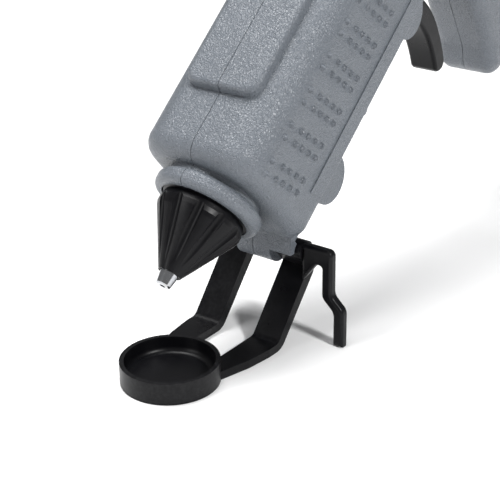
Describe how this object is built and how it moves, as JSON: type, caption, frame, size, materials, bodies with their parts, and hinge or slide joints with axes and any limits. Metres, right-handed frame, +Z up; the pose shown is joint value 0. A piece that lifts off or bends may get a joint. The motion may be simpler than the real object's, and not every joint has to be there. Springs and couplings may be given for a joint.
{
  "type": "glue gun",
  "caption": "Heavy-duty hot-melt glue gun standing nose down on a hinged drip stand, with a trigger-driven stick feed.",
  "frame": {"origin": "centre of the drip dish's underside, on the surface the gun rests on", "axes": "+Z up, the nozzle points towards -X and downwards, the gun's left side faces -Y"},
  "size_m": [0.3219, 0.0796, 0.2497],
  "materials": {
    "grey_plastic": "fine pebbled moulding",
    "screw_steel": "zinc plated",
    "shroud_black": "satin",
    "nozzle_steel": "turned and polished",
    "cast_aluminium": "cast",
    "heater_ceramic": "fired ceramic",
    "spring_steel": "oiled",
    "fuse_silver": "plain",
    "insulator_resin": "phenolic resin",
    "silicone": "silicone",
    "carriage_plastic": "moulded nylon",
    "pin_steel": "ground",
    "stand_black": "satin",
    "rocker_red": "glossy",
    "lamp_amber": "clear amber",
    "terminal_white": "nylon",
    "brass": "turned",
    "rubber_black": "rubber"
  },
  "bodies": {
    "housing": {"left_housing": "grey_plastic", "right_housing": "grey_plastic", "housing_screws": "screw_steel", "nozzle_shroud": "shroud_black", "nozzle": "nozzle_steel", "melt_chamber": "cast_aluminium", "heater_element": "heater_ceramic", "heater_clip": "spring_steel", "thermostat": "spring_steel", "thermal_fuse": "fuse_silver", "front_insulator": "insulator_resin", "rear_insulator": "insulator_resin", "inlet_sleeve": "silicone", "sleeve_clip": "spring_steel", "trigger_pin": "pin_steel", "trigger_spring": "spring_steel", "guide_tube": "carriage_plastic", "inlet_collar": "stand_black", "switch_frame": "stand_black", "pilot_lens": "lamp_amber", "terminal_block": "terminal_white", "terminal_screws": "brass", "cord_clamp": "stand_black", "clamp_screws": "screw_steel", "cord_inlet": "rubber_black", "stand_pin": "pin_steel"},
    "stand": {"drip_stand": "stand_black"},
    "trigger": {"trigger": "stand_black"},
    "carriage": {"feed_carriage": "carriage_plastic", "drive_pin": "pin_steel", "jaw_pin": "pin_steel"},
    "jaw": {"grip_jaw": "pin_steel"},
    "rocker": {"switch_rocker": "rocker_red"}
  },
  "joints": [
    {"name": "stand_hinge", "type": "hinge", "parent": "housing", "child": "stand", "pos_m": [0.0705, 0, 0.0423], "axis": [0, -1, 0], "range_deg": [0, 110]},
    {"name": "trigger_pull", "type": "hinge", "parent": "housing", "child": "trigger", "pos_m": [0.16784, 0, 0.13027], "axis": [0, -1, 0], "range_deg": [0, 15], "stiffness_Nm_per_rad": 1.2, "springref_deg": -17.19},
    {"name": "feed_slide", "type": "slide", "parent": "housing", "child": "carriage", "axis": [-0.766, 0, -0.6428], "range_m": [0, 0.00634]},
    {"name": "jaw_tilt", "type": "hinge", "parent": "carriage", "child": "jaw", "pos_m": [0.12533, 0, 0.13115], "axis": [0, -1, 0], "range_deg": [0, 9]},
    {"name": "switch_tilt", "type": "hinge", "parent": "housing", "child": "rocker", "pos_m": [0.22903, 0, 0.20902], "axis": [0, 1, 0], "range_deg": [0, 12]}
  ],
  "couplings": [
    {"joint": "feed_slide", "follows": "trigger_pull", "m_per_rad": 0.024138},
    {"joint": "jaw_tilt", "follows": "trigger_pull", "ratio": 0.53333}
  ]
}
